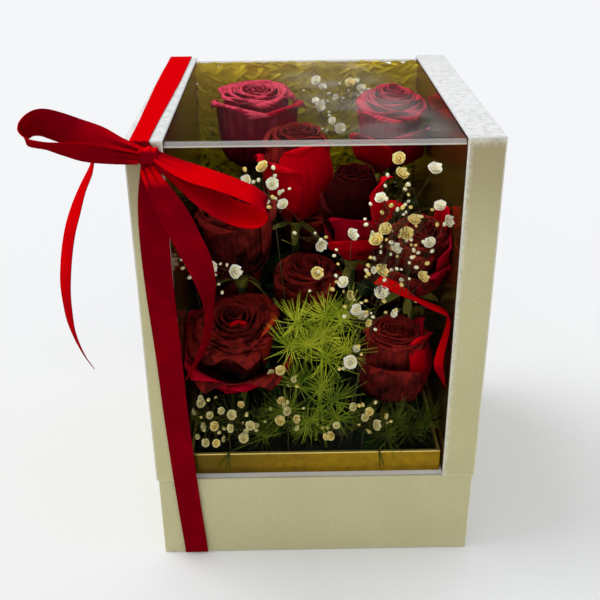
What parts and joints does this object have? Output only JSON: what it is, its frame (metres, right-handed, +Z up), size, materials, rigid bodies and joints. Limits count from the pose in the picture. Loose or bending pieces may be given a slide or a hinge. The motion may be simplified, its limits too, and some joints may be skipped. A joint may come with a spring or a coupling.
{
  "type": "flower box",
  "caption": "Tall gift box of roses: a pearl paper base with a gold collar and floral foam, and a lift-off cover of two side frames joined by one folded clear sheet, tied with a red satin bow.",
  "frame": {"origin": "middle of the base's flat underside", "axes": "+Z up, the way the cover lifts off; the front window faces -Y and the bow is on the -X side"},
  "size_m": [0.2477, 0.2335, 0.2976],
  "materials": {
    "pearl_paper": "pearl-coated paper over grey board",
    "white_paper": "white art paper over grey board",
    "gold_paper": "satin gold foil paper over board",
    "inner_gold_paper": "glossy gold-brown paper over board",
    "liner_film": "thin waterproof plastic tray",
    "floral_foam": "wet floral foam",
    "rose_petal": "velvet petals",
    "rose_stem": "green stem with its calyx",
    "white_blossom": "small double white blossoms on thin stems",
    "fern_needle": "fine green needles",
    "clear_sheet": "clear folded plastic sheet",
    "red_satin": "single-face satin ribbon",
    "tape": "clear double-sided tape"
  },
  "bodies": {
    "base": {"base_box": "pearl_paper", "base_deck": "white_paper", "breath_sprig_left_edge": "white_blossom", "breath_sprig_lower_left": "white_blossom", "breath_sprig_lower_middle": "white_blossom", "breath_sprig_lower_right": "white_blossom", "breath_sprig_right_middle": "white_blossom", "breath_sprig_top_back": "white_blossom", "breath_sprig_upper_left": "white_blossom", "breath_sprig_upper_right": "white_blossom", "collar_back": "gold_paper", "collar_front": "gold_paper", "collar_left": "gold_paper", "collar_right": "gold_paper", "fern_sprig_back": "fern_needle", "fern_sprig_left_low": "fern_needle", "fern_sprig_middle": "fern_needle", "fern_sprig_middle_low": "fern_needle", "fern_sprig_right_low": "fern_needle", "floral_foam": "floral_foam", "inner_streamer": "red_satin", "rose_head_back_left": "rose_petal", "rose_head_back_right": "rose_petal", "rose_head_front_left": "rose_petal", "rose_head_front_right": "rose_petal", "rose_head_left_back": "rose_petal", "rose_head_left_high": "rose_petal", "rose_head_middle_back": "rose_petal", "rose_head_middle_dark": "rose_petal", "rose_head_middle_low": "rose_petal", "rose_head_middle_tall": "rose_petal", "rose_head_right_back": "rose_petal", "rose_head_right_high": "rose_petal", "rose_stem_back_left": "rose_stem", "rose_stem_back_right": "rose_stem", "rose_stem_front_left": "rose_stem", "rose_stem_front_right": "rose_stem", "rose_stem_left_back": "rose_stem", "rose_stem_left_high": "rose_stem", "rose_stem_middle_back": "rose_stem", "rose_stem_middle_dark": "rose_stem", "rose_stem_middle_low": "rose_stem", "rose_stem_middle_tall": "rose_stem", "rose_stem_right_back": "rose_stem", "rose_stem_right_high": "rose_stem", "waterproof_liner": "liner_film"},
    "cover": {"left_side_shell": "pearl_paper", "right_side_shell": "pearl_paper", "left_inner_board": "inner_gold_paper", "right_inner_board": "inner_gold_paper", "clear_window": "clear_sheet", "ribbon_front": "red_satin", "ribbon_over": "red_satin", "band_tape_pads": "tape", "ribbon_knot": "red_satin", "bow_left_loop": "red_satin", "bow_right_loop": "red_satin", "ribbon_left_tail": "red_satin", "ribbon_right_tail": "red_satin"}
  },
  "joints": [
    {"name": "cover_lift", "type": "slide", "parent": "base", "child": "cover", "axis": [0, 0, 1], "range_m": [0, 0.22]}
  ]
}
